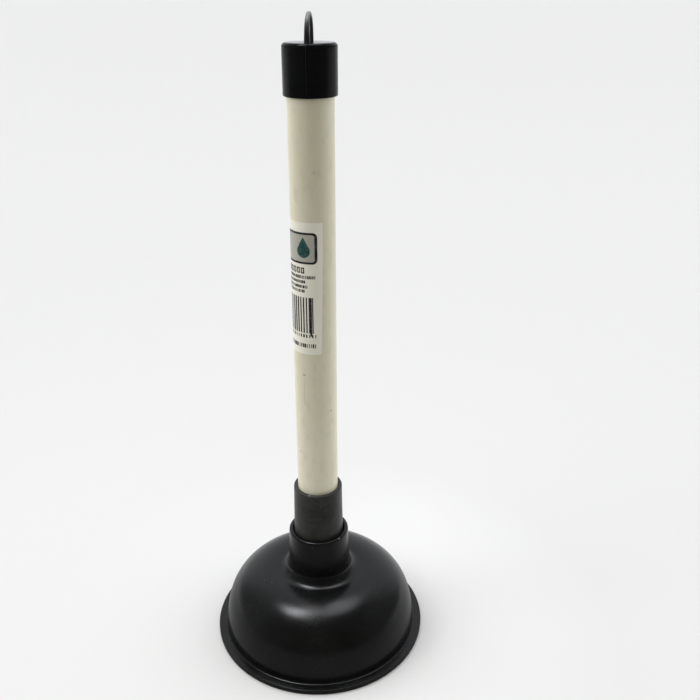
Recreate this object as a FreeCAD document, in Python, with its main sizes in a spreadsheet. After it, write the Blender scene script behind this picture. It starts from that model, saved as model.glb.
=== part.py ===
import FreeCAD, Part
import math
import os

import Sketcher

# A hand plunger for sinks: a rubber force cup on a hollow plastic handle.
# The frame stands on the middle of the cup's rim, +Z up along the handle. Millimetres.

SIZES = {
    # force cup: one rubber moulding
    "rim_radius": 54.4,        # outer edge of the flat sealing rim
    "rim_height": 2.6,         # thickness of that rim
    "rim_round": 0.9,          # rounding of its edge
    "bowl_radius": 49.9,       # bowl's outside where it leaves the rim
    "wall": 3.0,               # bowl's wall
    "shoulder_sweep": 25.0,    # arc that turns the bowl's side into its crown
    "crown_height": 34.7,      # highest ring of the bowl
    "foot_blend": 1.0,         # hollow blend from rim to bowl
    "collar_blend": 3.0,       # hollow blend from bowl to collar
    "collar_foot": 15.8,       # collar's radius at the bowl
    "collar_radius": 15.1,     # collar's radius at its lip
    "collar_height": 59.6,     # top of the lip
    "lip_round": 1.0,
    "socket_radius": 12.85,    # bore of the collar
    "socket_floor": 36.6,      # top of the web that closes the bore
    "snap_depth": 0.9,         # groove in the bore that holds the sleeve's bead
    # neck sleeve: soft sleeve between collar and tube
    "sleeve_foot": 36.8,
    "sleeve_height": 85.5,
    "sleeve_root": 12.6,       # outer radius inside the collar
    "sleeve_tip": 12.0,        # outer radius at the top
    "sleeve_round": 0.5,
    "ledge": 2.0,              # inward ledge that carries the tube's load
    "ledge_radius": 7.0,
    "bead_foot": 41.0,         # lower edge of the snap bead
    "bead_top": 44.0,
    "bead_slope": 0.8,
    "bead_gap": 0.15,          # room round the bead in its groove
    # handle tube and the plug that closes its lower end
    "tube_radius": 9.9,
    "tube_bore": 8.3,
    "tube_foot": 40.8,
    "tube_top": 289.6,
    "fit_gap": 0.05,
    "flange": 2.0,             # plug's flange, between ledge and tube
    "plug_length": 12.0,
    "plug_hollow": 6.3,
    # end cap with its hanging loop
    "cap_radius": 11.3,
    "cap_foot": 272.9,
    "cap_top": 293.8,
    "cap_round": 1.8,
    "cap_lip": 0.4,
    "loop_top": 304.8,         # overall height
    "loop_radius": 7.4,        # outer radius of the arch
    "loop_band": 1.8,          # band's thickness in the plane of the arch
    "loop_width": 2.0,         # band's width across it
    "loop_root": 2.0,          # depth of the legs inside the cap's roof
    # paper label
    "paper": 0.12,
    "label_foot": 161.3,
    "label_height": 61.1,
    "label_sweep": 173.5,      # degrees round the tube
    "label_edge": 33.5,        # degrees from -Y towards +X to the label's right edge
}

ROUND_TOLERANCE = 0.05         # how near a round edge's radius has to be to count as that ring

doc = FreeCAD.newDocument("plunger")
sheet = doc.addObject("Spreadsheet::Sheet", "Sizes")
for row, (name, value) in enumerate(SIZES.items(), start=1):
    sheet.set(f"A{row}", name)
    sheet.set(f"B{row}", str(value))
    sheet.setAlias(f"B{row}", name)
doc.recompute()


def number(text):
    """Value of a sum or difference of sheet names, such as 'bowl_radius - wall'."""
    total, sign = 0.0, 1
    for word in text.split():
        if word in "+-":
            sign = 1 if word == "+" else -1
        else:
            total += sign * SIZES[word]
    return total


def bound(text):
    """The same text as an expression on the sheet's cells."""
    return " ".join(word if word in "+-" else f"Sizes.{word}" for word in text.split())


def drive(thing, **properties):
    """Binds properties of an object to the sheet; a double underscore stands for a dot."""
    for name, text in properties.items():
        thing.setExpression(name.replace("__", "."), bound(text))


def body_with_sketch(name, plane):
    """A new body and an empty sketch on one of its own origin planes."""
    body = doc.addObject("PartDesign::Body", name)
    body.Label = name
    sketch = body.newObject("Sketcher::SketchObject", f"{name}_outline")
    flat = next(item for item in body.Origin.OriginFeatures if item.Role == plane)
    sketch.AttachmentSupport = [(flat, "")]
    sketch.MapMode = "FlatFace"
    return body, sketch


def dimension(sketch, kind, *where, text):
    """A dimension that follows the sheet."""
    index = sketch.addConstraint(Sketcher.Constraint(kind, *where, number(text)))
    sketch.setExpression(f"Constraints[{index}]", bound(text))


def pin_point(sketch, edge, end, across, up):
    """Puts an edge's end at the sheet's (across, up); None keeps it on that axis."""
    if across is None:
        sketch.addConstraint(Sketcher.Constraint("PointOnObject", edge, end, -2))
    else:
        dimension(sketch, "DistanceX", -1, 1, edge, end, text=across)
    if up is None:
        sketch.addConstraint(Sketcher.Constraint("PointOnObject", edge, end, -1))
    else:
        dimension(sketch, "DistanceY", -1, 1, edge, end, text=up)


def place_of(corner):
    """A corner's place, worked out from the sheet's names."""
    across, up = corner
    return FreeCAD.Vector(number(across) if across else 0.0, number(up) if up else 0.0, 0)


def lines(sketch, corners, closed=True):
    """Straight edges through corners given as pairs of sheet texts. Returns their indices."""
    places = [place_of(corner) for corner in corners]
    ends = places[1:] + places[:1] if closed else places[1:]
    edges = [sketch.addGeometry(Part.LineSegment(a, b), False) for a, b in zip(places, ends)]
    for edge, corner in zip(edges, corners):
        pin_point(sketch, edge, 1, *corner)
    for before, after in zip(edges, edges[1:]):
        sketch.addConstraint(Sketcher.Constraint("Coincident", before, 2, after, 1))
    if closed:
        sketch.addConstraint(Sketcher.Constraint("Coincident", edges[-1], 2, edges[0], 1))
    else:
        pin_point(sketch, edges[-1], 2, *corners[-1])
    return edges


def join(sketch, start, end):
    """A straight edge from one (edge, end) to another."""
    points = [sketch.getPoint(*where) for where in (start, end)]
    edge = sketch.addGeometry(Part.LineSegment(*points), False)
    sketch.addConstraint(Sketcher.Constraint("Coincident", edge, 1, *start))
    sketch.addConstraint(Sketcher.Constraint("Coincident", edge, 2, *end))
    return edge


def revolve(body, sketch, name):
    """Turns the outline once round the body's upright axis."""
    turned = body.newObject("PartDesign::Revolution", name)
    turned.Profile = sketch
    turned.ReferenceAxis = (sketch, ["V_Axis"])
    turned.Angle = 360
    doc.recompute()
    return turned


def ring_edges(feature, radius_text, height, reach=0.5):
    """Names of the round edges of this radius, at about this height."""
    radius = number(radius_text)
    found = []
    for index, edge in enumerate(feature.Shape.Edges, start=1):
        if not isinstance(edge.Curve, Part.Circle):
            continue
        near_height = abs(edge.Curve.Center.z - height) < reach
        if near_height and abs(edge.Curve.Radius - radius) < ROUND_TOLERANCE:
            found.append(f"Edge{index}")
    return found


def fillet(body, feature, edges, size_text, name):
    """Rounds the named edges of a body's feature."""
    rounded = body.newObject("PartDesign::Fillet", name)
    rounded.Base = (feature, edges)
    drive(rounded, Radius=size_text)
    doc.recompute()
    return rounded


def bowl_surface(sketch, offset):
    """One face of the bowl: a sphere about the axis, then the tangent shoulder arc.

    offset is the text taken off both radii, or None for the outside. Returns both edges.
    """
    less = f" - {offset}" if offset else ""
    side_text, sweep_text = f"bowl_radius{less}", f"shoulder_sweep{less}"
    side, sweep = number(side_text), number(sweep_text)
    level, middle = number("rim_height"), number("crown_height - shoulder_sweep")
    reach = side - sweep
    tilt = math.asin((middle - level) / reach)
    side_circle = Part.Circle(FreeCAD.Vector(0, level, 0), FreeCAD.Vector(0, 0, 1), side)
    centre = FreeCAD.Vector(reach * math.cos(tilt), middle, 0)
    sweep_circle = Part.Circle(centre, FreeCAD.Vector(0, 0, 1), sweep)
    last = math.acos((number("collar_foot") - centre.x) / sweep) if offset is None else math.pi / 2
    lower = sketch.addGeometry(Part.ArcOfCircle(side_circle, 0.0, tilt), False)
    upper = sketch.addGeometry(Part.ArcOfCircle(sweep_circle, tilt, last), False)
    pin_point(sketch, lower, 3, None, "rim_height")
    dimension(sketch, "Radius", lower, text=side_text)
    dimension(sketch, "Radius", upper, text=sweep_text)
    dimension(sketch, "DistanceY", -1, 1, upper, 3, text="crown_height - shoulder_sweep")
    dimension(sketch, "DistanceY", -1, 1, lower, 1, text="rim_height")
    sketch.addConstraint(Sketcher.Constraint("Tangent", lower, 2, upper, 1))
    return lower, upper


def force_cup():
    """Rubber cup: sealing rim, hollow bowl, closing web and blind collar."""
    body, sketch = body_with_sketch("force_cup", "XZ_Plane")
    outer_side, outer_sweep = bowl_surface(sketch, None)
    inner_side, inner_sweep = bowl_surface(sketch, "wall")

    rim = lines(sketch, [
        ("bowl_radius - wall", None),
        ("rim_radius", None),
        ("rim_radius", "rim_height"),
    ], closed=False)
    join(sketch, (rim[-1], 2), (outer_side, 1))
    join(sketch, (inner_side, 1), (rim[0], 1))

    groove_low = "bead_foot - bead_gap"
    groove_high = "bead_top + bead_gap"
    collar = lines(sketch, [
        ("collar_radius", "collar_height"),
        ("socket_radius", "collar_height"),
        ("socket_radius", groove_high + " + bead_slope"),
        ("socket_radius + snap_depth", groove_high),
        ("socket_radius + snap_depth", groove_low),
        ("socket_radius", groove_low + " - bead_slope"),
        ("socket_radius", "socket_floor"),
        (None, "socket_floor"),
        (None, "crown_height - wall"),
    ], closed=False)
    wall_edge = join(sketch, (outer_sweep, 2), (collar[0], 1))
    dimension(sketch, "DistanceX", -1, 1, wall_edge, 1, text="collar_foot")
    join(sketch, (collar[-1], 2), (inner_sweep, 2))
    sketch.addConstraint(Sketcher.Constraint("Vertical", inner_sweep, 3, inner_sweep, 2))

    turned = revolve(body, sketch, "cup_moulding")
    collar_root = ring_edges(turned, "collar_foot", number("crown_height"), reach=2.0)
    blended = fillet(body, turned, collar_root, "collar_blend", "collar_hollow")
    bowl_root = ring_edges(blended, "bowl_radius", number("rim_height"))
    blended = fillet(body, blended, bowl_root, "foot_blend", "rim_hollow")
    rim_edges = ring_edges(blended, "rim_radius", 0.0)
    rim_edges += ring_edges(blended, "rim_radius", number("rim_height"))
    blended = fillet(body, blended, rim_edges, "rim_round", "rim_edge")
    lip = ring_edges(blended, "collar_radius", number("collar_height"))
    lip += ring_edges(blended, "socket_radius", number("collar_height"))
    fillet(body, blended, lip, "lip_round", "collar_lip")
    return body


def neck_sleeve():
    """Soft sleeve over the tube, its snap bead held in the collar's groove."""
    body, sketch = body_with_sketch("neck_sleeve", "XZ_Plane")
    bead = "sleeve_root + snap_depth"
    bore = "tube_radius + fit_gap"
    shelf = "sleeve_foot + ledge"
    lines(sketch, [
        ("ledge_radius", "sleeve_foot"),
        ("sleeve_root", "sleeve_foot"),
        ("sleeve_root", "bead_foot - bead_slope"),
        (bead, "bead_foot"),
        (bead, "bead_top"),
        ("sleeve_root", "bead_top + bead_slope"),
        ("sleeve_root", "collar_height"),
        ("sleeve_tip", "sleeve_height"),
        (bore, "sleeve_height"),
        (bore, shelf),
        ("ledge_radius", shelf),
    ])
    turned = revolve(body, sketch, "sleeve_moulding")
    tip = ring_edges(turned, "sleeve_tip", number("sleeve_height"))
    tip += ring_edges(turned, bore, number("sleeve_height"))
    fillet(body, turned, tip, "sleeve_round", "sleeve_lip")
    return body


def handle_tube():
    """Hollow plastic tube that makes the handle."""
    body, sketch = body_with_sketch("handle_tube", "XY_Plane")
    for text in ("tube_radius", "tube_bore"):
        ring = Part.Circle(FreeCAD.Vector(0, 0, 0), FreeCAD.Vector(0, 0, 1), number(text))
        edge = sketch.addGeometry(ring, False)
        sketch.addConstraint(Sketcher.Constraint("Coincident", edge, 3, -1, 1))
        dimension(sketch, "Radius", edge, text=text)
    tube = body.newObject("PartDesign::Pad", "tube_extrusion")
    tube.Profile = sketch
    drive(tube, Length="tube_top - tube_foot")
    drive(body, Placement__Base__z="tube_foot")
    return body


def lower_plug():
    """Plug with a flange that closes the tube and spreads its thrust on the ledge."""
    body, sketch = body_with_sketch("lower_plug", "XZ_Plane")
    stem = "tube_bore - fit_gap"
    lines(sketch, [
        (None, None),
        ("tube_radius", None),
        ("tube_radius", "flange"),
        (stem, "flange"),
        (stem, "flange + plug_length"),
        ("plug_hollow", "flange + plug_length"),
        ("plug_hollow", "flange"),
        (None, "flange"),
    ])
    revolve(body, sketch, "plug_moulding")
    drive(body, Placement__Base__z="sleeve_foot + ledge")
    return body


def cap_loop(body):
    """Flat arch that stands on the cap's roof, in the plane across X."""
    sketch = body.newObject("Sketcher::SketchObject", "loop_outline")
    flat = next(item for item in body.Origin.OriginFeatures if item.Role == "YZ_Plane")
    sketch.AttachmentSupport = [(flat, "")]
    sketch.MapMode = "FlatFace"
    middle = FreeCAD.Vector(0, number("loop_top - loop_radius"), 0)
    foot = number("cap_top - loop_root")
    arcs = []
    for text in ("loop_radius", "loop_radius - loop_band"):
        radius = number(text)
        circle = Part.Circle(middle, FreeCAD.Vector(0, 0, 1), radius)
        arc = sketch.addGeometry(Part.ArcOfCircle(circle, 0.0, math.pi), False)
        dimension(sketch, "Radius", arc, text=text)
        pin_point(sketch, arc, 3, None, "loop_top - loop_radius")
        arcs.append(arc)
        for end in (1, 2):
            dimension(sketch, "DistanceY", -1, 1, arc, end, text="loop_top - loop_radius")
    for end in (1, 2):
        pair = []
        for arc in arcs:
            top = sketch.getPoint(arc, end)
            leg = sketch.addGeometry(Part.LineSegment(top, FreeCAD.Vector(top.x, foot, 0)), False)
            sketch.addConstraint(Sketcher.Constraint("Coincident", leg, 1, arc, end))
            sketch.addConstraint(Sketcher.Constraint("Vertical", leg))
            dimension(sketch, "DistanceY", -1, 1, leg, 2, text="cap_top - loop_root")
            pair.append(leg)
        join(sketch, (pair[0], 2), (pair[1], 2))
    arch = body.newObject("PartDesign::Pad", "loop_band")
    arch.Profile = sketch
    arch.Midplane = True
    drive(arch, Length="loop_width")
    doc.recompute()
    return arch


def end_cap():
    """Push-on cap: skirt over the tube's end, closed roof and hanging loop."""
    body, sketch = body_with_sketch("end_cap", "XZ_Plane")
    bore = "tube_radius + fit_gap"
    lines(sketch, [
        (bore, "cap_foot"),
        ("cap_radius", "cap_foot"),
        ("cap_radius", "cap_top"),
        (None, "cap_top"),
        (None, "tube_top + fit_gap"),
        (bore, "tube_top + fit_gap"),
    ])
    turned = revolve(body, sketch, "cap_moulding")
    top_edge = ring_edges(turned, "cap_radius", number("cap_top"))
    rounded = fillet(body, turned, top_edge, "cap_round", "cap_shoulder")
    foot_edge = ring_edges(rounded, "cap_radius", number("cap_foot"))
    fillet(body, rounded, foot_edge, "cap_lip", "cap_mouth")
    cap_loop(body)
    return body


def label():
    """Paper label wrapped half way round the tube."""
    shells = []
    for name, radius in (("label_face", "tube_radius + paper"), ("label_back", "tube_radius")):
        shell = doc.addObject("Part::Cylinder", name)
        drive(shell, Radius=radius, Height="label_height")
        shells.append(shell)
    drive(shells[0], Angle="label_sweep")
    paper = doc.addObject("Part::Cut", "label")
    paper.Label = "label"
    paper.Base, paper.Tool = shells
    turn = -90.0 + number("label_edge - label_sweep")
    paper.Placement.Rotation = FreeCAD.Rotation(FreeCAD.Vector(0, 0, 1), turn)
    drive(paper, Placement__Base__z="label_foot")
    return paper


def check():
    """Stops on any failed feature."""
    doc.recompute()
    for item in doc.Objects:
        if {"Invalid", "Error"} & set(item.State):
            raise RuntimeError(f"{item.Name} did not recompute: {item.State}")


def export(parts):
    """Writes each sub-part as a STEP file named after its label."""
    os.makedirs("parts", exist_ok=True)
    for part in parts:
        shape = part.Shape
        if shape.isNull() or not shape.isValid() or len(shape.Solids) != 1:
            raise RuntimeError(f"{part.Label} is not one valid solid")
        shape.exportStep(f"parts/{part.Label}.step")
        box = shape.BoundBox
        print(f"{part.Label}: {shape.Volume / 1000:.2f} cm3, z {box.ZMin:.2f} to {box.ZMax:.2f}")


parts = [force_cup(), neck_sleeve(), handle_tube(), lower_plug(), end_cap(), label()]
check()
export(parts)
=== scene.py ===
"""Sink plunger: rubber force cup, neck sleeve, cream tube, end cap with hanging loop, paper label."""

import math

import bmesh
import bpy
from mathutils import Matrix, Vector


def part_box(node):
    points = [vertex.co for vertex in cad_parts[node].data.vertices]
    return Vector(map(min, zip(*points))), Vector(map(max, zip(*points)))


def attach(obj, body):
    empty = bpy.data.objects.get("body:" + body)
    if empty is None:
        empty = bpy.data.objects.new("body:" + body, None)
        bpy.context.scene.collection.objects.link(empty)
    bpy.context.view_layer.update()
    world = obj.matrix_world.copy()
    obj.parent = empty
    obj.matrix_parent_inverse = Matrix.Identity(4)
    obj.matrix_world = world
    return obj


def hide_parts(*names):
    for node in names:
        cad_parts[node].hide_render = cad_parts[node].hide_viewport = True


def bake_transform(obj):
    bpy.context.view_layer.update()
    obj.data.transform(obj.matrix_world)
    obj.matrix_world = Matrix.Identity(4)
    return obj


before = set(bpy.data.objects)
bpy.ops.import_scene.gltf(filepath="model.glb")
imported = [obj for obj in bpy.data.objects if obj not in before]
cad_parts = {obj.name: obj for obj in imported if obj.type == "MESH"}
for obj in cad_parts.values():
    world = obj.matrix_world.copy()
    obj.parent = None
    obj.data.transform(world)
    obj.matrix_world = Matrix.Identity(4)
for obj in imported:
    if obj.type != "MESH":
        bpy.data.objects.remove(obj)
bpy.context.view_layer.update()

MM = 0.001
TURN = 2 * math.pi

# ---------------------------------------------------------------- driving sizes, millimetres

_, cup_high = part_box("force_cup")
sleeve_low, sleeve_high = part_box("neck_sleeve")
_, tube_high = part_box("handle_tube")
cap_low, cap_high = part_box("end_cap")
label_low, label_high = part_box("label")

RIM_RADIUS = 54.3
RIM_HEIGHT = 2.6
BOWL_RADIUS = 49.9
WALL = 3.0
SHOULDER = 25.0
CROWN_HEIGHT = 34.7
COLLAR_FOOT = 15.8
COLLAR_RADIUS = 15.1
COLLAR_HEIGHT = cup_high.z / MM
SOCKET_RADIUS = 12.85
SOCKET_FLOOR = 36.6
SNAP = 0.9                          # depth of the sleeve's bead and of its groove in the collar
BEAD_FOOT = 41.0
BEAD_TOP = 44.0
BEAD_SLOPE = 0.8
GROOVE_ROOM = 0.2                   # room under and over the bead
FIT_GAP = 0.05                      # between the tube and what is pushed over it
LEDGE = 2.0                         # the sleeve's inward ledge under the plug
LEDGE_RADIUS = 7.0
SLEEVE_ROOT = 12.6
SLEEVE_NECK = 12.45
SLEEVE_TIP = 12.0
SLEEVE_FOOT = sleeve_low.z / MM
SLEEVE_TOP = sleeve_high.z / MM
TUBE_RADIUS = tube_high.x / MM
CAP_RADIUS = 11.3
CAP_FOOT = cap_low.z / MM
CAP_TOP = 293.6
CAP_LIP = 0.4
CAP_TURN = math.radians(1.3)        # turn of the loop and the parting line about the tube
LOOP_TOP = cap_high.z / MM
LABEL_FOOT = label_low.z / MM
LABEL_TOP = label_high.z / MM
LABEL_EDGE = math.radians(33.5)     # right edge, from -Y towards +X
LABEL_SWEEP = math.radians(173.5)
LABEL_SKEW = 1.3                    # creep of the label round the tube, from top to foot
LABEL_SKEW_CURVE = 1.3              # above 1, the creep grows faster near the foot
PAPER_THICK = 0.12
INK_THICK = 0.03
INK_LIFT = 0.13                     # how far the printed rows start above the tube

# strengths of the surroundings from the side and the front: fill lights the colours, key the sheen
FILL_SIDE = 0.87
FILL_FRONT = 0.30
KEY_SIDE = 0.25
KEY_FRONT = 0.10
SIDE_TINT = (0.79, 0.80, 0.845)
FRONT_TINT = (0.83, 0.80, 0.74)
BACKDROP = (0.87, 0.875, 0.885)
FLOOR_SHEEN = 0.28                  # share of the front floor that shiny pieces mirror
FLOOR_TONE = (0.78, 0.777, 0.75)
# painted light: floor colour near the cup, brighter to cancel the cup's shadow
FLOOR_PAINTED_LIGHT_NEAR = (0.87, 0.865, 0.84)


# ---------------------------------------------------------------- small helpers

def arc(middle, radius, start, end, steps):
    """Points of an arc in the (radius, height) plane, from start to end in degrees."""
    found = []
    for index in range(steps + 1):
        angle = math.radians(start + (end - start) * index / steps)
        found.append((middle[0] + radius * math.cos(angle), middle[1] + radius * math.sin(angle)))
    return found


def run(start, end, steps):
    """Evenly spaced points of a straight stretch, without its first point."""
    return [
        (start[0] + (end[0] - start[0]) * index / steps, start[1] + (end[1] - start[1]) * index / steps)
        for index in range(1, steps + 1)
    ]


def mesh_object(name, mesh):
    thing = bpy.data.objects.new(name, mesh)
    bpy.context.scene.collection.objects.link(thing)
    return thing


def finished(shape, name, finish):
    """Turns a bmesh into an object with outward faces and one material."""
    bmesh.ops.recalc_face_normals(shape, faces=shape.faces)
    mesh = bpy.data.meshes.new(name)
    shape.to_mesh(mesh)
    shape.free()
    mesh.materials.append(finish)
    return mesh_object(name, mesh)


def skin_rings(shape, rings):
    """Joins rings of vertices into a tube and closes both of its ends."""
    for first, second in zip(rings, rings[1:]):
        for step in range(len(first)):
            after = (step + 1) % len(first)
            shape.faces.new((first[step], first[after], second[after], second[step]))
    shape.faces.new(rings[0][::-1])
    shape.faces.new(rings[-1])


def heading(points, index):
    """Direction of a path of (across, up) points at one of them."""
    before = Vector(points[max(index - 1, 0)])
    after = Vector(points[min(index + 1, len(points) - 1)])
    return (after - before).normalized()


def smooth(thing):
    thing.data.polygons.foreach_set("use_smooth", [True] * len(thing.data.polygons))
    return thing


# ---------------------------------------------------------------- geometry node trees

def link_chain(tree, *pairs):
    for source, target in pairs:
        tree.links.new(source, target)


def math_node(tree, kind, first, second, integer=False):
    """A maths node; first and second are sockets or plain numbers."""
    node = tree.nodes.new("FunctionNodeIntegerMath" if integer else "ShaderNodeMath")
    node.operation = kind
    for socket, value in zip(node.inputs, (first, second)):
        if isinstance(value, (int, float)):
            socket.default_value = value
        else:
            tree.links.new(value, socket)
    return node.outputs[0]


def lathe_tree():
    """Turns an outline in the XZ plane round the Z axis into a closed skin."""
    tree = bpy.data.node_groups.new("turn_outline", "GeometryNodeTree")
    tree.interface.new_socket("Outline", in_out="INPUT", socket_type="NodeSocketGeometry")
    tree.interface.new_socket("Steps round", in_out="INPUT", socket_type="NodeSocketInt")
    tree.interface.new_socket("Finish", in_out="INPUT", socket_type="NodeSocketMaterial")
    tree.interface.new_socket("Skin", in_out="OUTPUT", socket_type="NodeSocketGeometry")
    start = tree.nodes.new("NodeGroupInput")
    end = tree.nodes.new("NodeGroupOutput")
    points = tree.nodes.new("GeometryNodeCurveToPoints")
    points.mode = "EVALUATED"
    size = tree.nodes.new("GeometryNodeAttributeDomainSize")
    size.component = "POINTCLOUD"
    grid = tree.nodes.new("GeometryNodeMeshGrid")
    index = tree.nodes.new("GeometryNodeInputIndex")
    place = tree.nodes.new("GeometryNodeInputPosition")
    sample = tree.nodes.new("GeometryNodeSampleIndex")
    sample.data_type = "FLOAT_VECTOR"
    turn = tree.nodes.new("ShaderNodeVectorRotate")
    turn.rotation_type = "Z_AXIS"
    move = tree.nodes.new("GeometryNodeSetPosition")
    weld = tree.nodes.new("GeometryNodeMergeByDistance")
    weld.inputs["Distance"].default_value = 1e-6
    shade = tree.nodes.new("GeometryNodeSetShadeSmooth")
    real = tree.nodes.new("GeometryNodeRealizeInstances")
    paint = tree.nodes.new("GeometryNodeSetMaterial")

    steps = start.outputs["Steps round"]
    columns = math_node(tree, "ADD", steps, 1, integer=True)
    row = math_node(tree, "DIVIDE_FLOOR", index.outputs[0], columns, integer=True)
    column = math_node(tree, "MODULO", index.outputs[0], columns, integer=True)
    share = math_node(tree, "DIVIDE", column, steps)
    angle = math_node(tree, "MULTIPLY", share, TURN)
    link_chain(
        tree,
        (start.outputs["Outline"], points.inputs["Curve"]),
        (points.outputs["Points"], size.inputs["Geometry"]),
        (size.outputs["Point Count"], grid.inputs["Vertices X"]),
        (columns, grid.inputs["Vertices Y"]),
        (points.outputs["Points"], sample.inputs["Geometry"]),
        (place.outputs[0], sample.inputs["Value"]),
        (row, sample.inputs["Index"]),
        (sample.outputs["Value"], turn.inputs["Vector"]),
        (angle, turn.inputs["Angle"]),
        (grid.outputs["Mesh"], move.inputs["Geometry"]),
        (turn.outputs["Vector"], move.inputs["Position"]),
        (move.outputs["Geometry"], weld.inputs["Geometry"]),
        (weld.outputs["Geometry"], shade.inputs["Geometry"]),
        (shade.outputs["Geometry"], real.inputs["Geometry"]),
        (real.outputs["Geometry"], paint.inputs["Geometry"]),
        (start.outputs["Finish"], paint.inputs["Material"]),
        (paint.outputs["Geometry"], end.inputs["Skin"]),
    )
    return tree


def print_tree():
    """A row of thin printed strokes, laid out flat and then wrapped round the tube."""
    tree = bpy.data.node_groups.new("printed_row", "GeometryNodeTree")
    for name, kind in (
        ("Blank", "NodeSocketGeometry"), ("Strokes", "NodeSocketInt"), ("Length", "NodeSocketFloat"),
        ("Height", "NodeSocketFloat"), ("Fill", "NodeSocketFloat"), ("Spread", "NodeSocketFloat"),
        ("Angle", "NodeSocketFloat"), ("Level", "NodeSocketFloat"), ("Radius", "NodeSocketFloat"),
        ("Ink depth", "NodeSocketFloat"), ("Seed", "NodeSocketInt"), ("Finish", "NodeSocketMaterial"),
    ):
        tree.interface.new_socket(name, in_out="INPUT", socket_type=kind)
    tree.interface.new_socket("Print", in_out="OUTPUT", socket_type="NodeSocketGeometry")
    start = tree.nodes.new("NodeGroupInput")
    end = tree.nodes.new("NodeGroupOutput")
    given = start.outputs
    line = tree.nodes.new("GeometryNodeMeshLine")
    line.mode = "OFFSET"
    pitch = math_node(tree, "DIVIDE", given["Length"], given["Strokes"])
    first = tree.nodes.new("ShaderNodeCombineXYZ")
    offset = tree.nodes.new("ShaderNodeCombineXYZ")
    block = tree.nodes.new("GeometryNodeMeshCube")
    block.inputs["Vertices X"].default_value = 5
    block_size = tree.nodes.new("ShaderNodeCombineXYZ")
    scatter = tree.nodes.new("GeometryNodeInstanceOnPoints")
    chance = tree.nodes.new("FunctionNodeRandomValue")
    chance.data_type = "FLOAT"
    stretch = tree.nodes.new("ShaderNodeCombineXYZ")
    stretch.inputs["Y"].default_value = 1
    stretch.inputs["Z"].default_value = 1
    real = tree.nodes.new("GeometryNodeRealizeInstances")
    move = tree.nodes.new("GeometryNodeSetPosition")
    place = tree.nodes.new("GeometryNodeInputPosition")
    split = tree.nodes.new("ShaderNodeSeparateXYZ")
    join = tree.nodes.new("ShaderNodeCombineXYZ")
    paint = tree.nodes.new("GeometryNodeSetMaterial")

    least = math_node(tree, "SUBTRACT", given["Fill"], given["Spread"])
    most = math_node(tree, "ADD", given["Fill"], given["Spread"])
    bend = math_node(tree, "DIVIDE", split.outputs["X"], given["Radius"])
    arc_angle = math_node(tree, "ADD", bend, given["Angle"])
    reach = math_node(tree, "ADD", split.outputs["Z"], given["Radius"])
    across = math_node(tree, "MULTIPLY", reach, math_node(tree, "SINE", arc_angle, 0))
    behind = math_node(tree, "MULTIPLY", reach, math_node(tree, "COSINE", arc_angle, 0))
    ahead = math_node(tree, "MULTIPLY", behind, -1)
    level = math_node(tree, "ADD", split.outputs["Y"], given["Level"])
    link_chain(
        tree,
        (given["Strokes"], line.inputs["Count"]),
        (pitch, offset.inputs["X"]),
        (offset.outputs[0], line.inputs["Offset"]),
        (pitch, block_size.inputs["X"]),
        (given["Height"], block_size.inputs["Y"]),
        (given["Ink depth"], block_size.inputs["Z"]),
        (block_size.outputs[0], block.inputs["Size"]),
        (math_node(tree, "MULTIPLY", pitch, 0.5), first.inputs["X"]),
        (first.outputs[0], line.inputs["Start Location"]),
        (least, chance.inputs["Min"]),
        (most, chance.inputs["Max"]),
        (given["Seed"], chance.inputs["Seed"]),
        (line.outputs["Mesh"], scatter.inputs["Points"]),
        (block.outputs["Mesh"], scatter.inputs["Instance"]),
        (chance.outputs["Value"], stretch.inputs["X"]),
        (stretch.outputs[0], scatter.inputs["Scale"]),
        (scatter.outputs["Instances"], real.inputs["Geometry"]),
        (real.outputs["Geometry"], move.inputs["Geometry"]),
        (place.outputs[0], split.inputs[0]),
        (across, join.inputs["X"]),
        (ahead, join.inputs["Y"]),
        (level, join.inputs["Z"]),
        (join.outputs[0], move.inputs["Position"]),
        (move.outputs["Geometry"], paint.inputs["Geometry"]),
        (given["Finish"], paint.inputs["Material"]),
        (paint.outputs["Geometry"], end.inputs["Print"]),
    )
    return tree


def run_tree(source, tree, name, **inputs):
    """Runs a tree on a source object and keeps the result as a plain mesh object."""
    modifier = source.modifiers.new("build", "NODES")
    modifier.node_group = tree
    for socket in tree.interface.items_tree:
        key = socket.name.replace(" ", "_").lower()
        if key in inputs:
            modifier[socket.identifier] = inputs[key]
    source.update_tag()
    bpy.context.view_layer.update()
    graph = bpy.context.evaluated_depsgraph_get()
    mesh = bpy.data.meshes.new_from_object(source.evaluated_get(graph))
    mesh.name = name
    bpy.data.objects.remove(source)
    return mesh_object(name, mesh)


def turned(name, outline, steps, finish):
    """A piece turned from an outline given in millimetres as (radius, height) pairs."""
    curve = bpy.data.curves.new(name + "_outline", "CURVE")
    curve.dimensions = "3D"
    spline = curve.splines.new("POLY")
    spline.points.add(len(outline) - 1)
    for point, (radius, height) in zip(spline.points, outline):
        point.co = (radius * MM, 0, height * MM, 1)
    source = mesh_object(name + "_outline", curve)
    return run_tree(source, LATHE, name, steps_round=steps, finish=finish)


# ---------------------------------------------------------------- materials

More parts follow.
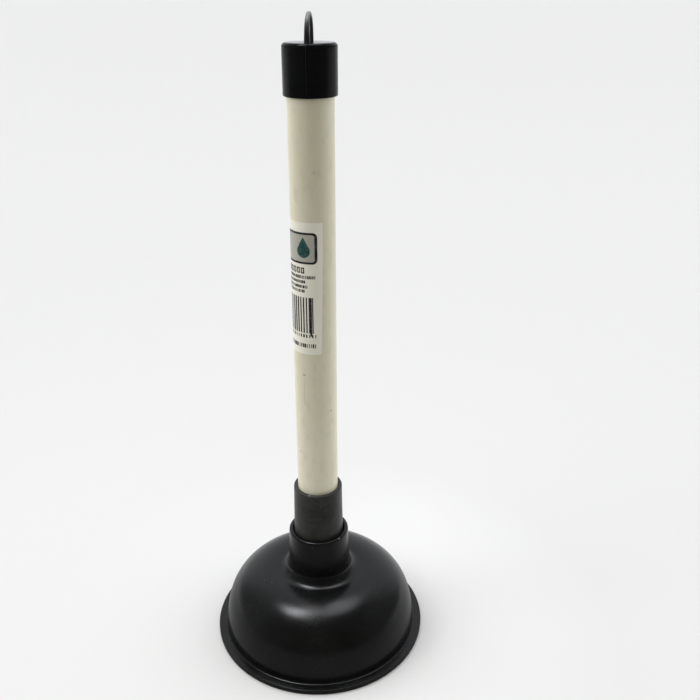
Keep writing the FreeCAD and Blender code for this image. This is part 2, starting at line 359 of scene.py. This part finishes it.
class Finish:
    """A procedural material: one Principled shader and the nodes that feed it."""

    def __init__(self, name, **constants):
        self.material = bpy.data.materials.new(name)
        self.material.use_nodes = True
        self.tree = self.material.node_tree
        self.shader = self.tree.nodes["Principled BSDF"]
        self.place = self.tree.nodes.new("ShaderNodeTexCoord").outputs["Object"]
        for socket, value in constants.items():
            self.shader.inputs[socket.replace("_", " ")].default_value = value

    def link(self, source, target):
        self.tree.links.new(source, target)

    def stretched(self, scale):
        """Object coordinates, scaled along each axis."""
        node = self.tree.nodes.new("ShaderNodeMapping")
        node.inputs["Scale"].default_value = scale
        self.link(self.place, node.inputs["Vector"])
        return node.outputs[0]

    def axis(self, name):
        """One of the object coordinates."""
        node = self.tree.nodes.new("ShaderNodeSeparateXYZ")
        self.link(self.place, node.inputs[0])
        return node.outputs[name]

    def noise(self, scale, detail=3.0, rough=0.55, where=None):
        node = self.tree.nodes.new("ShaderNodeTexNoise")
        node.inputs["Scale"].default_value = scale
        node.inputs["Detail"].default_value = detail
        node.inputs["Roughness"].default_value = rough
        self.link(where or self.place, node.inputs["Vector"])
        return node.outputs["Fac"]

    def specks(self, scale, size):
        """1 inside small scattered specks, 0 outside."""
        node = self.tree.nodes.new("ShaderNodeTexVoronoi")
        node.inputs["Scale"].default_value = scale
        self.link(self.place, node.inputs["Vector"])
        near = self.ramp(node.outputs["Distance"], (size * 0.6, 1), (size, 0))
        pick = self.tree.nodes.new("ShaderNodeSeparateColor")
        self.link(node.outputs["Color"], pick.inputs[0])
        few = self.ramp(pick.outputs[0], (0.70, 0), (0.74, 1))
        return self.maths("MULTIPLY", near, few)

    def ramp(self, source, low, high):
        """Straight ramp: low and high are (input, output) pairs."""
        node = self.tree.nodes.new("ShaderNodeMapRange")
        node.inputs["From Min"].default_value = low[0]
        node.inputs["From Max"].default_value = high[0]
        node.inputs["To Min"].default_value = low[1]
        node.inputs["To Max"].default_value = high[1]
        self.link(source, node.inputs["Value"])
        return node.outputs["Result"]

    def maths(self, kind, first, second):
        return math_node(self.tree, kind, first, second)

    def mix(self, amount, first, second):
        """Colour mix; first and second are colours or sockets."""
        node = self.tree.nodes.new("ShaderNodeMix")
        node.data_type = "RGBA"
        self.link(amount, node.inputs[0])
        for socket, value in zip((node.inputs[6], node.inputs[7]), (first, second)):
            if isinstance(value, tuple):
                socket.default_value = (*value, 1)
            else:
                self.link(value, socket)
        return node.outputs[2]

    def mark(self, place, size):
        """1 inside a small ball about a point given in millimetres, fading out at its edge."""
        node = self.tree.nodes.new("ShaderNodeVectorMath")
        node.operation = "DISTANCE"
        node.inputs[1].default_value = Vector(place) * MM
        self.link(self.place, node.inputs[0])
        return self.ramp(node.outputs["Value"], (size * MM * 0.5, 1), (size * MM, 0))

    def together(self, parts):
        """The strongest of several masks."""
        total = parts[0]
        for part in parts[1:]:
            total = self.maths("MAXIMUM", total, part)
        return total

    def colour(self, source):
        self.link(source, self.shader.inputs["Base Color"])

    def roughness(self, source):
        self.link(source, self.shader.inputs["Roughness"])

    def bump(self, source, distance, strength=1.0):
        """Adds a bump; the first one added is the finest."""
        node = self.tree.nodes.new("ShaderNodeBump")
        node.inputs["Distance"].default_value = distance
        node.inputs["Strength"].default_value = strength
        self.link(source, node.inputs["Height"])
        before = self.shader.inputs["Normal"].links
        if before:
            self.link(before[0].from_socket, node.inputs["Normal"])
        self.link(node.outputs[0], self.shader.inputs["Normal"])


def rubber_finish(name, shade, low_rough, high_rough, specular, mottle=1.7, marks=(),
                  polished=None, wear_and_painted_highlight=None):
    """Black moulded rubber: fine grain, dull patches, pits, scuffs and a little dust.

    polished is the height in millimetres above which the mould left it smooth; the last
    argument is the pair of heights between which the colour is painted paler: a painted highlight.
    """
    made = Finish(name, Specular_IOR_Level=specular)
    patches = made.noise(55, 4)
    scuffs = made.noise(420, 4, 0.65)
    grain = made.noise(2600, 2)
    pits = made.specks(420, 0.10)
    dust = made.specks(230, 0.06)
    dulled = made.maths("ADD", patches, made.maths("MULTIPLY", scuffs, 0.6))
    bloom = made.ramp(dulled, (0.65, 0), (0.95, 1))
    base = made.mix(bloom, shade, tuple(part * mottle for part in shade))
    pale = made.maths("MULTIPLY", dust, 0.6)
    if marks:
        pale = made.together([pale] + [made.mark(place, size) for place, size in marks])
    if wear_and_painted_highlight:
        # painted highlight: the colour turns paler towards the top of the given heights
        painted_highlight_mask = made.ramp(made.axis("Z"), (wear_and_painted_highlight[0] * MM, 0), (wear_and_painted_highlight[1] * MM, 1))
        base = made.mix(made.maths("POWER", painted_highlight_mask, 2.5), base, (0.22, 0.22, 0.21))
    made.colour(made.mix(pale, base, (0.17, 0.165, 0.145)))
    dull = made.maths("ADD", made.maths("MULTIPLY", patches, 0.7), made.maths("MULTIPLY", scuffs, 0.3))
    rough = made.maths("ADD", made.ramp(dull, (0.35, low_rough), (0.65, high_rough)),
                       made.maths("MULTIPLY", grain, 0.05))
    fine = made.maths("SUBTRACT", grain, made.maths("MULTIPLY", pits, 3.0))
    waves = made.noise(190, 3)
    if polished is not None:
        grained = made.ramp(made.axis("Z"), (polished * MM, 1), ((polished + 0.4) * MM, 0.05))
        kept = made.maths("ADD", 0.15, made.maths("MULTIPLY", grained, 0.85))
        rough = made.maths("MULTIPLY", rough, kept)
        fine = made.maths("MULTIPLY", fine, grained)
        waves = made.maths("MULTIPLY", waves, grained)
    made.roughness(rough)
    made.bump(fine, 0.00002, 0.5)
    made.bump(waves, 0.00010, 0.30)
    return made.material


def tube_finish():
    """Cream extruded plastic: faint drawing lines, handling marks and a soft sheen."""
    made = Finish("cream_plastic", Specular_IOR_Level=0.55)
    lines_along = made.noise(900, 3, where=made.stretched((1, 1, 0.012)))
    stains = made.noise(38, 5, 0.6, where=made.stretched((1, 1, 0.35)))
    smudges = made.noise(300, 4, 0.6, where=made.stretched((1, 1, 0.5)))
    cream, stained = (0.79, 0.757, 0.583), (0.735, 0.697, 0.505)
    base = made.mix(made.ramp(stains, (0.35, 0), (0.7, 1)), cream, stained)
    base = made.mix(made.ramp(smudges, (0.52, 0), (0.85, 0.5)), base, (0.56, 0.52, 0.38))
    # a scratch along the front left, a larger mark at its upper end and a few specks of dirt
    scratch = made.together([
        made.mark((-3.9, -9.1, 135.0 + 0.8 * step), 0.42) for step in range(18)])
    dirt = made.together([made.mark(place, size) for place, size in (
        ((-3.9, -9.1, 150.5), 0.75), ((7.9, -5.9, 131.0), 0.6), ((-7.2, -6.8, 108.0), 0.5),
        ((2.4, -9.6, 243.5), 0.4), ((8.9, 4.3, 190.0), 0.6), ((-6.0, 7.9, 150.0), 0.6))])
    wear_and_painted_highlight = made.maths("MAXIMUM", made.maths("MULTIPLY", scratch, 0.22),
                      made.maths("MULTIPLY", dirt, 0.55))
    wear_and_painted_highlight = made.maths("MAXIMUM", wear_and_painted_highlight, made.maths("MULTIPLY", made.specks(120, 0.05), 0.5))
    made.colour(made.mix(wear_and_painted_highlight, base, (0.26, 0.22, 0.15)))
    made.roughness(made.ramp(stains, (0.3, 0.30), (0.7, 0.42)))
    made.bump(lines_along, 0.00002, 0.3)
    made.bump(made.noise(120, 2), 0.00005, 0.2)
    return made.material


def paper_finish():
    """Uncoated white label paper."""
    made = Finish("label_paper", Specular_IOR_Level=0.3)
    fibre = made.noise(1800, 4)
    tone = made.noise(60, 3)
    made.colour(made.mix(tone, (0.90, 0.875, 0.755), (0.95, 0.925, 0.80)))
    made.roughness(made.ramp(fibre, (0.3, 0.5), (0.7, 0.62)))
    made.bump(fibre, 0.00001, 0.3)
    return made.material


def ink_finish(name, shade):
    """Printing ink, a little paler in patches of wear."""
    made = Finish(name, Specular_IOR_Level=0.3)
    wear = made.noise(900, 3)
    paler = tuple(part + (0.45 - part) * 0.22 for part in shade)
    made.colour(made.mix(made.ramp(wear, (0.45, 0), (0.75, 1)), shade, paler))
    made.roughness(made.ramp(wear, (0.3, 0.45), (0.7, 0.6)))
    return made.material


CUP_RUBBER = rubber_finish("cup_rubber", (0.0038, 0.0040, 0.0038), 0.17, 0.26, 0.30,
                           marks=(((11.8, -9.0, 59.6), 0.7), ((-14.0, -14.2, 34.2), 0.5)))
SLEEVE_RUBBER = rubber_finish("sleeve_rubber", (0.013, 0.013, 0.0118), 0.34, 0.50, 0.46, 2.6,
                              marks=(((-2.6, -10.9, 85.4), 0.8), ((-2.0, -11.0, 85.4), 0.5)))
CAP_PLASTIC = rubber_finish("cap_plastic", (0.0038, 0.0042, 0.0040), 0.16, 0.26, 0.10,
                            polished=CAP_TOP - 1.2)
# the loop's top is painted paler: a painted highlight
LOOP_PLASTIC = rubber_finish("loop_plastic", (0.0048, 0.0050, 0.0050), 0.36, 0.46, 1.0,
                             wear_and_painted_highlight=(CAP_TOP, LOOP_TOP))
SEAM_PLASTIC = rubber_finish("seam_plastic", (0.012, 0.012, 0.012), 0.40, 0.50, 0.3)
PLUG_PLASTIC = rubber_finish("plug_plastic", (0.03, 0.03, 0.03), 0.45, 0.6, 0.4)
CREAM = tube_finish()
PAPER = paper_finish()
BLACK_INK = ink_finish("black_ink", (0.012, 0.012, 0.014))
GREEN_INK = ink_finish("green_ink", (0.012, 0.075, 0.062))
GREY_INK = ink_finish("grey_ink", (0.47, 0.465, 0.395))
LATHE = lathe_tree()
PRINT = print_tree()


# ---------------------------------------------------------------- force cup

def bowl_arcs(radius, sweep):
    """Middle of the shoulder arc and the angle where the bowl's side meets it."""
    level = CROWN_HEIGHT - SHOULDER
    reach = radius - sweep
    tilt = math.degrees(math.asin((level - RIM_HEIGHT) / reach))
    return (reach * math.cos(math.radians(tilt)), level), tilt


def cup_outline():
    """The moulding's whole skin, from the web's underside round to the socket's floor."""
    hollow = 5.2
    foot = 1.0
    edge = 0.3
    sole = 0.6
    inside = 0.7
    lip = 1.05
    inner, tilt = bowl_arcs(BOWL_RADIUS - WALL, SHOULDER - WALL)
    outer, _ = bowl_arcs(BOWL_RADIUS, SHOULDER)
    outline = [(0, CROWN_HEIGHT - WALL)]
    outline += run(outline[-1], (inner[0], CROWN_HEIGHT - WALL), 14)
    outline += arc(inner, SHOULDER - WALL, 90, tilt, 30)[1:]
    outline += arc((0, RIM_HEIGHT), BOWL_RADIUS - WALL, tilt, 0, 12)[1:]
    outline += arc((BOWL_RADIUS - WALL + inside, inside), inside, 180, 270, 6)
    outline += run(outline[-1], (RIM_RADIUS - sole, 0), 5)
    outline += arc((RIM_RADIUS - sole, sole), sole, -90, 0, 7)[1:]
    outline += arc((RIM_RADIUS - edge, RIM_HEIGHT - edge), edge, 0, 90, 7)
    blend_angle = math.degrees(math.asin(foot / (BOWL_RADIUS + foot)))
    blend_reach = (BOWL_RADIUS + foot) * math.cos(math.radians(blend_angle))
    blend_middle = (blend_reach, RIM_HEIGHT + foot)
    outline += arc(blend_middle, foot, 270, 180 + blend_angle, 8)
    outline += arc((0, RIM_HEIGHT), BOWL_RADIUS, blend_angle, tilt, 14)[1:]
    reach = SHOULDER + hollow
    across = COLLAR_FOOT + hollow - outer[0]
    end = 180 - math.degrees(math.acos(-across / reach))
    outline += arc(outer, SHOULDER, tilt, end, 60)[1:]
    middle = (COLLAR_FOOT + hollow, outer[1] + math.sqrt(reach ** 2 - across ** 2))
    outline += arc(middle, hollow, end + 180, 180, 12)[1:]
    outline += run(outline[-1], (COLLAR_RADIUS, COLLAR_HEIGHT - lip), 16)
    outline += arc((COLLAR_RADIUS - lip, COLLAR_HEIGHT - lip), lip, 0, 90, 8)[1:]
    outline += arc((SOCKET_RADIUS + lip * 0.8, COLLAR_HEIGHT - lip * 0.8), lip * 0.8, 90, 180, 8)
    groove_low = BEAD_FOOT - GROOVE_ROOM
    groove_high = BEAD_TOP + GROOVE_ROOM
    outline += run(outline[-1], (SOCKET_RADIUS, groove_high + BEAD_SLOPE), 8)
    outline += [(SOCKET_RADIUS + SNAP, groove_high), (SOCKET_RADIUS + SNAP, groove_low),
                (SOCKET_RADIUS, groove_low - BEAD_SLOPE)]
    outline += run(outline[-1], (SOCKET_RADIUS, SOCKET_FLOOR), 2)
    outline += run(outline[-1], (0, SOCKET_FLOOR), 6)
    return outline


def force_cup():
    """Rubber cup, turned as one fixed piece with its rim on the floor."""
    cup = turned("force_cup_skin", cup_outline(), 256, CUP_RUBBER)
    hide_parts("force_cup")
    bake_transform(cup)


# ---------------------------------------------------------------- sleeve, tube, plug

def neck_sleeve():
    """Soft sleeve round the tube's foot, with the snap bead that holds it in the collar."""
    bore = TUBE_RADIUS + FIT_GAP
    lip = 0.55
    outline = [(LEDGE_RADIUS, SLEEVE_FOOT)]
    outline += run(outline[-1], (SLEEVE_ROOT, SLEEVE_FOOT), 3)
    outline += run(outline[-1], (SLEEVE_ROOT, BEAD_FOOT - BEAD_SLOPE), 2)
    outline += [(SLEEVE_ROOT + SNAP, BEAD_FOOT), (SLEEVE_ROOT + SNAP, BEAD_TOP),
                (SLEEVE_ROOT, BEAD_TOP + BEAD_SLOPE)]
    outline += run(outline[-1], (SLEEVE_NECK, COLLAR_HEIGHT), 8)
    outline += run(outline[-1], (SLEEVE_TIP, SLEEVE_TOP - lip), 16)
    outline += arc((SLEEVE_TIP - lip, SLEEVE_TOP - lip), lip, 0, 90, 6)[1:]
    outline += arc((bore + lip, SLEEVE_TOP - lip), lip, 90, 180, 6)
    outline += run(outline[-1], (bore, SLEEVE_FOOT + LEDGE), 16)
    outline += run(outline[-1], (LEDGE_RADIUS, SLEEVE_FOOT + LEDGE), 3)
    outline += run(outline[-1], outline[0], 2)
    sleeve = turned("neck_sleeve_skin", outline, 160, SLEEVE_RUBBER)
    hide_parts("neck_sleeve")
    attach(sleeve, "handle")


def paint_node(name, finish):
    """Gives a CAD node its finished material."""
    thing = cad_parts[name]
    thing.data.materials.clear()
    thing.data.materials.append(finish)
    return thing


# ---------------------------------------------------------------- end cap

def cap_face():
    """Outside of the cap, from its mouth up to the middle of its roof."""
    shoulder = 1.6
    crown = 0.25
    outline = arc((CAP_RADIUS - CAP_LIP, CAP_FOOT + CAP_LIP), CAP_LIP, 270, 360, 5)
    outline += run(outline[-1], (CAP_RADIUS, CAP_TOP - shoulder - crown), 12)
    outline += arc((CAP_RADIUS - shoulder, CAP_TOP - shoulder - crown), shoulder, 0, 88, 10)[1:]
    outline += run(outline[-1], (0, CAP_TOP), 10)
    return outline


def cap_bore():
    """Inside of the cap, from the middle of the tube's end down to the mouth."""
    bore = TUBE_RADIUS + FIT_GAP
    roof = tube_high.z / MM + FIT_GAP
    outline = [(0, roof)]
    outline += run(outline[-1], (bore, roof), 6)
    outline += run(outline[-1], (bore, CAP_FOOT + CAP_LIP), 8)
    outline += arc((bore + CAP_LIP, CAP_FOOT + CAP_LIP), CAP_LIP, 180, 270, 5)[1:]
    return outline


def hanging_loop():
    """Arched band across the cap's roof, wider at its near foot."""
    radius = 7.4
    band = 1.8
    middle_line = radius - band / 2
    spring = LOOP_TOP - radius
    base = CAP_TOP - 1.2
    path = [(-middle_line, base + (spring - base) * index / 10) for index in range(10)]
    for index in range(41):
        angle = math.pi * index / 40
        path.append((-middle_line * math.cos(angle), spring + middle_line * math.sin(angle)))
    path += [(middle_line, spring - (spring - base) * index / 10) for index in range(1, 11)]
    ring_steps = 20
    flat = 0.62                     # below 1, the band's section is a rounded rectangle
    turn = Matrix.Rotation(CAP_TURN, 3, "Z")
    rings = []
    shape = bmesh.new()
    for index, (ahead, up) in enumerate(path):
        share = index / (len(path) - 1)
        along = heading(path, index)
        side = Vector((along.y, -along.x))
        width = 2.5 - 0.5 * math.sin(math.pi * share) - 0.9 * share
        thick = band - 0.35 * math.sin(math.pi * share)
        ring = []
        for step in range(ring_steps):
            angle = TURN * step / ring_steps
            across = math.copysign(abs(math.cos(angle)) ** flat, math.cos(angle)) * width / 2
            out = math.copysign(abs(math.sin(angle)) ** flat, math.sin(angle)) * thick / 2
            spot = turn @ Vector((across, ahead + side.x * out, up + side.y * out))
            ring.append(shape.verts.new(spot * MM))
        rings.append(ring)
    skin_rings(shape, rings)
    return smooth(finished(shape, "hanging_loop", LOOP_PLASTIC))


def parting_line(name, outline, turn, finish):
    """Thin raised line that the mould's halves left along an outline, at this angle from +X."""
    half, proud, sunk = 0.16, 0.09, 0.2
    across = Vector((-math.sin(turn), math.cos(turn), 0))
    shape = bmesh.new()
    rings = []
    for index, (radius, height) in enumerate(outline):
        along = heading(outline, index)
        outward = Vector((along.y, -along.x))
        ring = []
        for side, reach in ((-half, -sunk), (half, -sunk), (half * 0.5, proud), (-half * 0.5, proud)):
            spot = Vector((radius, height)) + outward * reach
            place = Vector((math.cos(turn) * spot.x, math.sin(turn) * spot.x, spot.y))
            ring.append(shape.verts.new((place + across * side) * MM))
        rings.append(ring)
    skin_rings(shape, rings)
    return finished(shape, name, finish)


def end_cap():
    """Push-on cap, the line its mould left over it, and its hanging loop."""
    face = cap_face()
    cap = turned("end_cap_skin", cap_bore() + face, 160, CAP_PLASTIC)
    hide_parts("end_cap")
    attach(cap, "handle")
    seam = [point for point in face if point[1] > CAP_FOOT + 0.5 and point[0] > 2.0]
    for side, angle in (("front", -math.pi / 2), ("back", math.pi / 2)):
        line = parting_line("cap_parting_" + side, seam, angle + CAP_TURN, SEAM_PLASTIC)
        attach(line, "handle")
    loop = hanging_loop()
    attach(loop, "handle")


# ---------------------------------------------------------------- label

def wrapped_plate(name, columns, inner, outer, finish, skew=0.0):
    """Thin closed plate round the tube.

    columns are (along, low, high) in millimetres: the distance left of the label's right edge
    and the heights that the plate spans there. skew is the creep from the top to the foot.
    """
    shape = bmesh.new()
    rows = 12
    layers = []
    for radius in (inner, outer):
        layer = []
        for along, low, high in columns:
            line = []
            for row in range(rows + 1):
                level = low + (high - low) * row / rows
                fallen = (LABEL_TOP - level) / (LABEL_TOP - LABEL_FOOT)
                creep = skew * fallen ** LABEL_SKEW_CURVE
                angle = LABEL_EDGE - (along + creep) / TUBE_RADIUS
                line.append(shape.verts.new((
                    radius * math.sin(angle) * MM, -radius * math.cos(angle) * MM, level * MM)))
            layer.append(line)
        layers.append(layer)
    back, front = layers
    for layer in layers:
        for left, right in zip(layer, layer[1:]):
            for row in range(rows):
                shape.faces.new((left[row], right[row], right[row + 1], left[row + 1]))
    for row in range(rows):
        for column in (0, -1):
            shape.faces.new((back[column][row], back[column][row + 1],
                             front[column][row + 1], front[column][row]))
    for index in range(len(columns) - 1):
        for row in (0, rows):
            shape.faces.new((back[index][row], back[index + 1][row],
                             front[index + 1][row], front[index][row]))
    return finished(shape, name, finish)


def rounded_columns(start, end, low, high, corner, steps=40):
    """Columns of a rounded rectangle."""
    most = (high - low) / 2 - 0.01
    found = []
    for index in range(steps + 1):
        share = (1 - math.cos(math.pi * index / steps)) / 2
        along = start + (end - start) * share
        inset = min(along - start, end - along)
        drop = 0.0
        if inset < corner:
            drop = corner - math.sqrt(max(corner ** 2 - (corner - inset) ** 2, 0))
        found.append((along, low + min(drop, most), high - min(drop, most)))
    return found


def printed_row(name, along, length, level, height, strokes, fill, spread, seed, finish):
    """Row of strokes that starts this far left of the label's right edge."""
    blank = mesh_object("blank", bpy.data.meshes.new("blank"))
    return run_tree(
        blank, PRINT, name, strokes=strokes, length=length * MM, height=height * MM, fill=fill,
        spread=spread, angle=LABEL_EDGE - (along + length) / TUBE_RADIUS, level=level * MM,
        radius=(TUBE_RADIUS + INK_LIFT) * MM, ink_depth=INK_THICK * MM, seed=seed, finish=finish)


def label():
    """Paper wrapped round the tube, a plain badge with a drop, and rows of strokes for print."""
    paper_face = TUBE_RADIUS + PAPER_THICK
    ink_face = paper_face + INK_THICK
    width = LABEL_SWEEP * TUBE_RADIUS - LABEL_SKEW
    sheet = rounded_columns(0, width, LABEL_FOOT, LABEL_TOP, 0.8, 90)
    pieces = [wrapped_plate("label_paper", sheet, TUBE_RADIUS + 0.005, paper_face, PAPER, LABEL_SKEW)]
    # badge: dark frame, grey field, green drop
    badge_low, badge_high = 204.1, 218.1
    badge_start, badge_end = 2.5, 26.5
    side, line = 1.2, 0.95
    frame_shape = rounded_columns(badge_start, badge_end, badge_low, badge_high, 2.1, 60)
    field_shape = rounded_columns(badge_start + side, badge_end - side,
                                  badge_low + line, badge_high - line, 1.2, 60)
    pieces.append(wrapped_plate("badge_frame", frame_shape, paper_face - 0.02, ink_face, BLACK_INK))
    pieces.append(wrapped_plate("badge_field", field_shape, paper_face, ink_face + 0.02, GREY_INK))
    drop_radius = 3.0
    drop_start = badge_start + 3.2
    drop_level = (badge_low + badge_high) / 2 - 1.2
    drop = []
    for index in range(25):
        across = drop_radius * (1 - math.cos(math.pi * index / 24))
        off = across - drop_radius
        half = math.sqrt(max(drop_radius ** 2 - off ** 2, 0)) + 0.01
        tip = max(0, drop_radius - 1.35 * abs(off))
        drop.append((drop_start + across, drop_level - half, drop_level + half + tip))
    pieces.append(wrapped_plate("badge_drop", drop, paper_face, ink_face + 0.04, GREEN_INK))
    # name, along, length, level, height, strokes, share that is ink, spread of that share
    rows = (
        ("print_heading_uprights", 8.0, 12.9, 201.1, 2.7, 12, 0.50, 0.0),
        ("print_heading_tops", 8.0, 12.9, 202.2, 0.55, 6, 0.74, 0.0),
        ("print_heading_feet", 8.0, 12.9, 200.0, 0.55, 6, 0.74, 0.0),
        ("print_line_one", 3.1, 23.0, 198.1, 1.4, 28, 0.66, 0.30),
        ("print_line_two", 7.9, 14.0, 195.9, 1.3, 17, 0.66, 0.30),
        ("print_line_three", 6.7, 16.0, 193.65, 1.35, 19, 0.66, 0.30),
        ("print_line_four", 8.2, 13.5, 191.6, 1.3, 17, 0.66, 0.30),
        ("print_bars", 4.0, 21.0, 180.2, 17.0, 15, 0.50, 0.24),
        ("print_guard_bars", 5.2, 1.2, 179.5, 18.4, 1, 0.75, 0.0),
        ("print_numbers", 2.9, 22.0, 170.3, 1.5, 16, 0.42, 0.20),
        ("print_foot_line", 3.3, 21.0, 165.55, 1.9, 22, 0.62, 0.28),
    )
    for seed, row in enumerate(rows, start=3):
        pieces.append(printed_row(*row, seed, BLACK_INK))
    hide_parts("label")
    for piece in pieces:
        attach(piece, "handle")


force_cup()
neck_sleeve()
end_cap()
label()
smooth(paint_node("handle_tube", CREAM))
paint_node("lower_plug", PLUG_PLASTIC)


# ---------------------------------------------------------------- floor, light and camera

def stage():
    """Pale paper floor, painted brighter near the cup on the right to cancel the cup's shadow there."""
    mesh = bpy.data.meshes.new("floor")
    half = 60.0
    level = -0.05 * MM
    corners = [(-half, -half, level), (half, -half, level), (half, half, level), (-half, half, level)]
    mesh.from_pydata(corners, [], [(0, 1, 2, 3)])
    floor = mesh_object("floor", mesh)
    paper = Finish("white_paper", Specular_IOR_Level=0.1, Roughness=0.9)
    across, ahead = paper.axis("X"), paper.axis("Y")
    path = paper.tree.nodes.new("ShaderNodeLightPath").outputs
    # the floor throws less light back on the left and in front than it shows to the camera
    left = paper.maths("MAXIMUM", paper.ramp(across, (-0.20, 0.2), (-0.03, 1.0)), path["Is Glossy Ray"])
    bounce = paper.maths("MULTIPLY", paper.ramp(ahead, (-0.40, 0.12), (-0.18, 1.05)), left)
    dimmed = paper.ramp(ahead, (-0.06, 1 - FLOOR_SHEEN), (0.12, 0))
    sheen = paper.maths("SUBTRACT", 1, paper.maths("MULTIPLY", path["Is Glossy Ray"], dimmed))
    seen = paper.maths("MAXIMUM", path["Is Camera Ray"], paper.maths("MULTIPLY", bounce, sheen))
    spread = paper.tree.nodes.new("ShaderNodeVectorMath")
    spread.operation = "LENGTH"
    paper.link(paper.place, spread.inputs[0])
    # painted light: the floor is painted brighter near the cup, more on the right, where the cup's
    # shadow falls
    near = paper.maths("MULTIPLY", paper.ramp(spread.outputs["Value"], (0.070, 1), (0.160, 0)),
                       paper.ramp(across, (-0.03, 0.3), (0.05, 1.0)))
    tone = paper.mix(near, FLOOR_TONE, FLOOR_PAINTED_LIGHT_NEAR)
    paper.colour(paper.mix(seen, (0, 0, 0), tone))
    mesh.materials.append(paper.material)


def panel(name, place, size, power, aim=(0, 0, 0.05), shiny=True):
    """Soft rectangular light; one that isn't shiny makes no highlight."""
    light = bpy.data.lights.new(name, "AREA")
    light.shape = "RECTANGLE"
    light.size, light.size_y = size
    light.energy = power
    thing = mesh_object(name, light)
    thing.location = place
    thing.rotation_euler = (Vector(aim) - Vector(place)).to_track_quat("-Z", "Y").to_euler()
    thing.visible_glossy = shiny
    return thing


def toward(azimuth, elevation):
    """Unit vector: azimuth 0 is the front, -Y, and grows towards +X; both in degrees."""
    turn, lift = math.radians(azimuth), math.radians(elevation)
    return Vector((math.sin(turn) * math.cos(lift), -math.cos(turn) * math.cos(lift), math.sin(lift)))


# soft lamps over the stage: azimuth, elevation, radius, soft edge (degrees), strength
FILL_LAMPS = (
    (180, 60, 60, 30, 0.36),
    (-90, 17, 40, 25, 1.88),
    (110, 10, 38, 25, 0.90),
)
KEY_LAMPS = (
    (184, 24, 50, 16, 0.85),
    (150, 77, 14, 7, 4.6),
    (-84, 73, 8.5, 4, 19.5),
)


def sky():
    """Pale surroundings: wide soft fill for the colours, and smaller lamps for the sheen."""
    world = bpy.data.worlds.new("studio")
    bpy.context.scene.world = world
    world.use_nodes = True
    tree = world.node_tree
    tree.nodes.clear()
    place = tree.nodes.new("ShaderNodeTexCoord").outputs["Generated"]

    def patch(direction, angle_far, angle_near, value_far, value_near):
        """A value that changes smoothly between two angles from a direction."""
        aim = tree.nodes.new("ShaderNodeVectorMath")
        aim.operation = "DOT_PRODUCT"
        aim.inputs[1].default_value = direction
        ramp = tree.nodes.new("ShaderNodeMapRange")
        ramp.interpolation_type = "SMOOTHSTEP"
        ramp.inputs["From Min"].default_value = math.cos(math.radians(angle_far))
        ramp.inputs["From Max"].default_value = math.cos(math.radians(angle_near))
        ramp.inputs["To Min"].default_value = value_far
        ramp.inputs["To Max"].default_value = value_near
        tree.links.new(place, aim.inputs[0])
        tree.links.new(aim.outputs["Value"], ramp.inputs["Value"])
        return ramp.outputs["Result"]

    def surround(side, front, lamps):
        """Light that changes from the side to the front, with lamps added to it."""
        total = patch(toward(8, 12), 95, 45, side, front)
        for azimuth, elevation, radius, soft, strength in lamps:
            spot = patch(toward(azimuth, elevation), radius + soft, radius - soft, 0, strength)
            total = math_node(tree, "ADD", total, spot)
        tint = tree.nodes.new("ShaderNodeMix")
        tint.data_type = "RGBA"
        tint.inputs[6].default_value = (*SIDE_TINT, 1)
        tint.inputs[7].default_value = (*FRONT_TINT, 1)
        tree.links.new(patch(toward(8, 12), 80, 40, 0, 1), tint.inputs[0])
        glow = tree.nodes.new("ShaderNodeBackground")
        tree.links.new(tint.outputs[2], glow.inputs["Color"])
        tree.links.new(total, glow.inputs["Strength"])
        return glow.outputs[0]

    def pick(ray, otherwise, chosen):
        """One shader for this kind of ray and another for the rest."""
        swap = tree.nodes.new("ShaderNodeMixShader")
        tree.links.new(path.outputs[ray], swap.inputs[0])
        tree.links.new(otherwise, swap.inputs[1])
        tree.links.new(chosen, swap.inputs[2])
        return swap.outputs[0]

    path = tree.nodes.new("ShaderNodeLightPath")
    plain = tree.nodes.new("ShaderNodeBackground")
    plain.inputs["Color"].default_value = (*BACKDROP, 1)
    fill = surround(FILL_SIDE, FILL_FRONT, FILL_LAMPS)
    key = surround(KEY_SIDE, KEY_FRONT, KEY_LAMPS)
    out = tree.nodes.new("ShaderNodeOutputWorld")
    lit = pick("Is Glossy Ray", fill, key)
    tree.links.new(pick("Is Camera Ray", lit, plain.outputs[0]), out.inputs["Surface"])


def camera():
    """Camera a little to the right of the loop's plane, above the cap and looking down."""
    turn = Matrix.Rotation(math.radians(6.8), 4, "Z")
    place = turn @ Vector((0.0161, -0.3430, 0.3150))
    data = bpy.data.cameras.new("camera")
    data.sensor_width = 36.0
    data.lens = 41.68
    data.clip_start = 0.01
    thing = mesh_object("camera", data)
    look = Matrix.Rotation(math.radians(90 - 24.43), 4, "X")
    thing.matrix_world = Matrix.Translation(place) @ turn @ look
    bpy.context.scene.camera = thing


stage()
sky()
panel("overhead_fill", (-0.3, -0.3, 3.0), (1.6, 1.6), 4)
panel("upper_left_fill", (-0.28, -0.11, 0.36), (0.12, 0.10), 0.17, aim=(0, 0, 0.28), shiny=False)
camera()
bpy.context.scene.view_settings.view_transform = "Standard"
